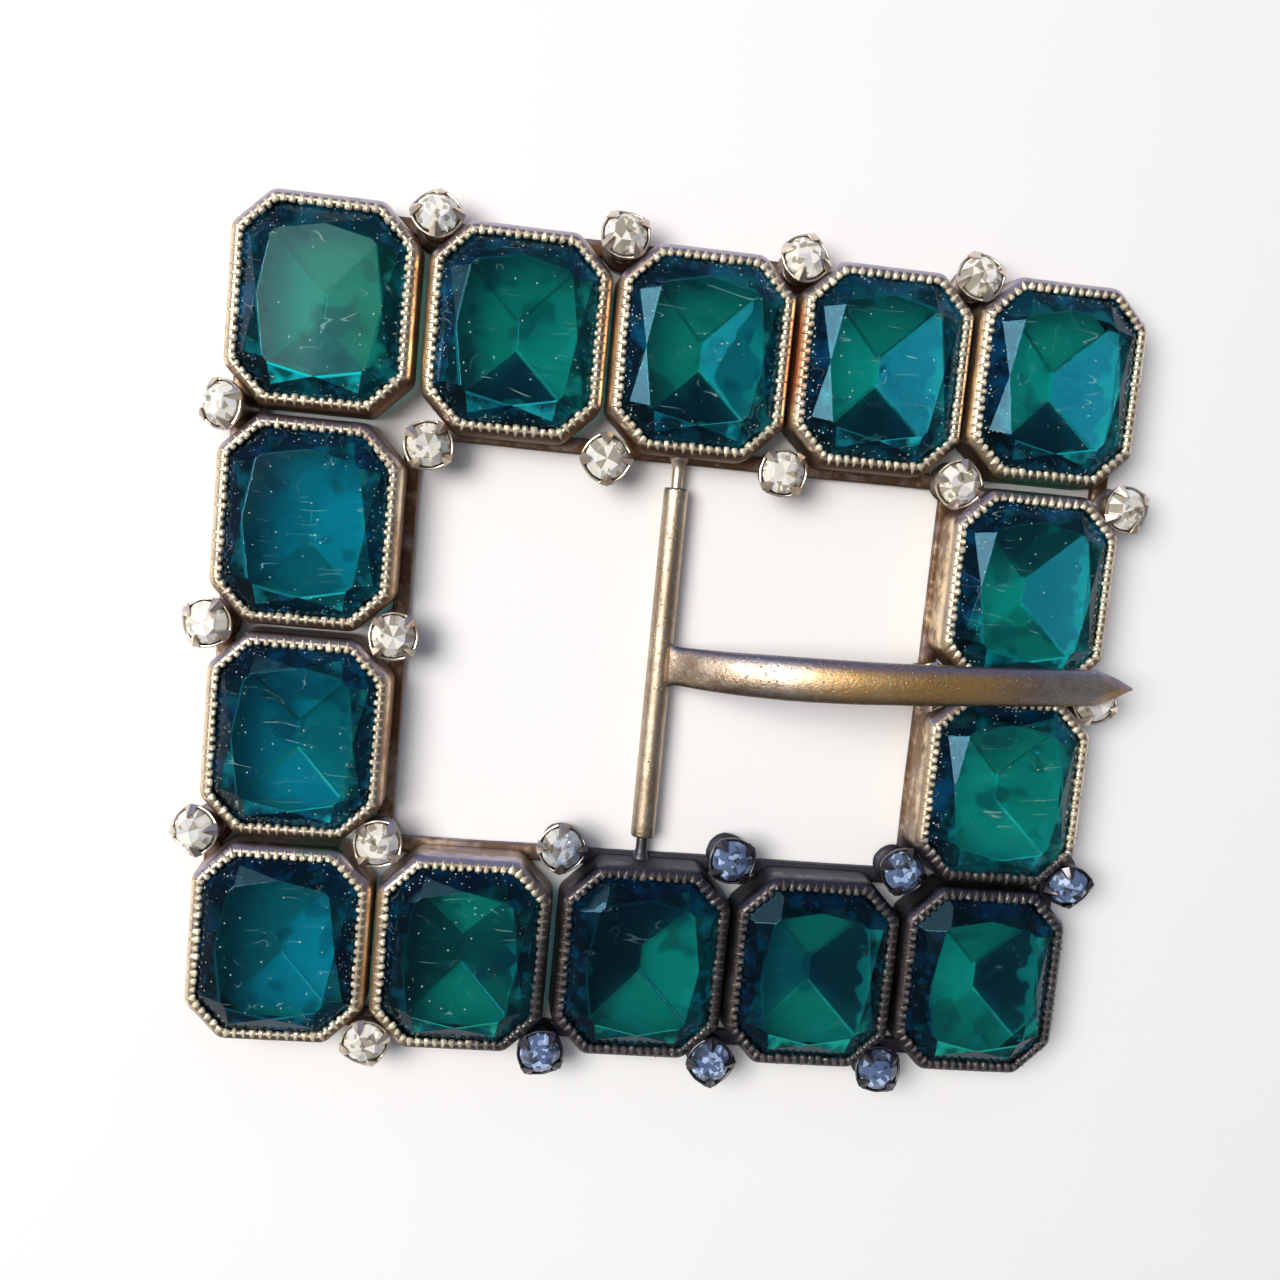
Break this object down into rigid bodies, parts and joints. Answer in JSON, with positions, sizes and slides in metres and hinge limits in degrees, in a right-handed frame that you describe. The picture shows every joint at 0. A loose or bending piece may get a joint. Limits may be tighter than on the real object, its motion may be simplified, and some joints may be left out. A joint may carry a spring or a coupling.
{
  "type": "belt buckle",
  "caption": "Rectangular sash buckle of cut glass stones in open-backed settings, with a hinged tongue on a wire bar.",
  "frame": {"origin": "centre of the rectangle of settings, on the plane of the rails' backs", "axes": "+Z out of the buckle's face, +X along the tongue from its bar to its point, +Y up the face"},
  "size_m": [0.0888, 0.0812, 0.0104],
  "materials": {
    "plated_metal": "worn silver-toned plating, tarnished brown in the recesses",
    "tongue_metal": "worn silver-toned plating, satin",
    "teal_glass": "cut and polished",
    "clear_glass": "cut and polished"
  },
  "bodies": {
    "buckle_frame": {"frame": "plated_metal", "stone_1": "teal_glass", "stone_2": "teal_glass", "stone_3": "teal_glass", "stone_4": "teal_glass", "stone_5": "teal_glass", "stone_6": "teal_glass", "stone_7": "teal_glass", "stone_8": "teal_glass", "stone_9": "teal_glass", "stone_10": "teal_glass", "stone_11": "teal_glass", "stone_12": "teal_glass", "stone_13": "teal_glass", "stone_14": "teal_glass", "rhinestone_1": "clear_glass", "rhinestone_2": "clear_glass", "rhinestone_3": "clear_glass", "rhinestone_4": "clear_glass", "rhinestone_5": "clear_glass", "rhinestone_6": "clear_glass", "rhinestone_7": "clear_glass", "rhinestone_8": "clear_glass", "rhinestone_9": "clear_glass", "rhinestone_10": "clear_glass", "rhinestone_11": "clear_glass", "rhinestone_12": "clear_glass", "rhinestone_13": "clear_glass", "rhinestone_14": "clear_glass", "rhinestone_15": "clear_glass", "rhinestone_16": "clear_glass", "rhinestone_17": "clear_glass", "rhinestone_18": "clear_glass", "rhinestone_19": "clear_glass", "rhinestone_20": "clear_glass", "rhinestone_21": "clear_glass", "rhinestone_22": "clear_glass", "rhinestone_23": "clear_glass", "rhinestone_24": "clear_glass"},
    "buckle_tongue": {"tongue": "tongue_metal"}
  },
  "joints": [
    {"name": "tongue_hinge", "type": "hinge", "parent": "buckle_frame", "child": "buckle_tongue", "pos_m": [-0.0006, 0, 0.00135], "axis": [0, -1, 0], "range_deg": [0, 145]}
  ]
}
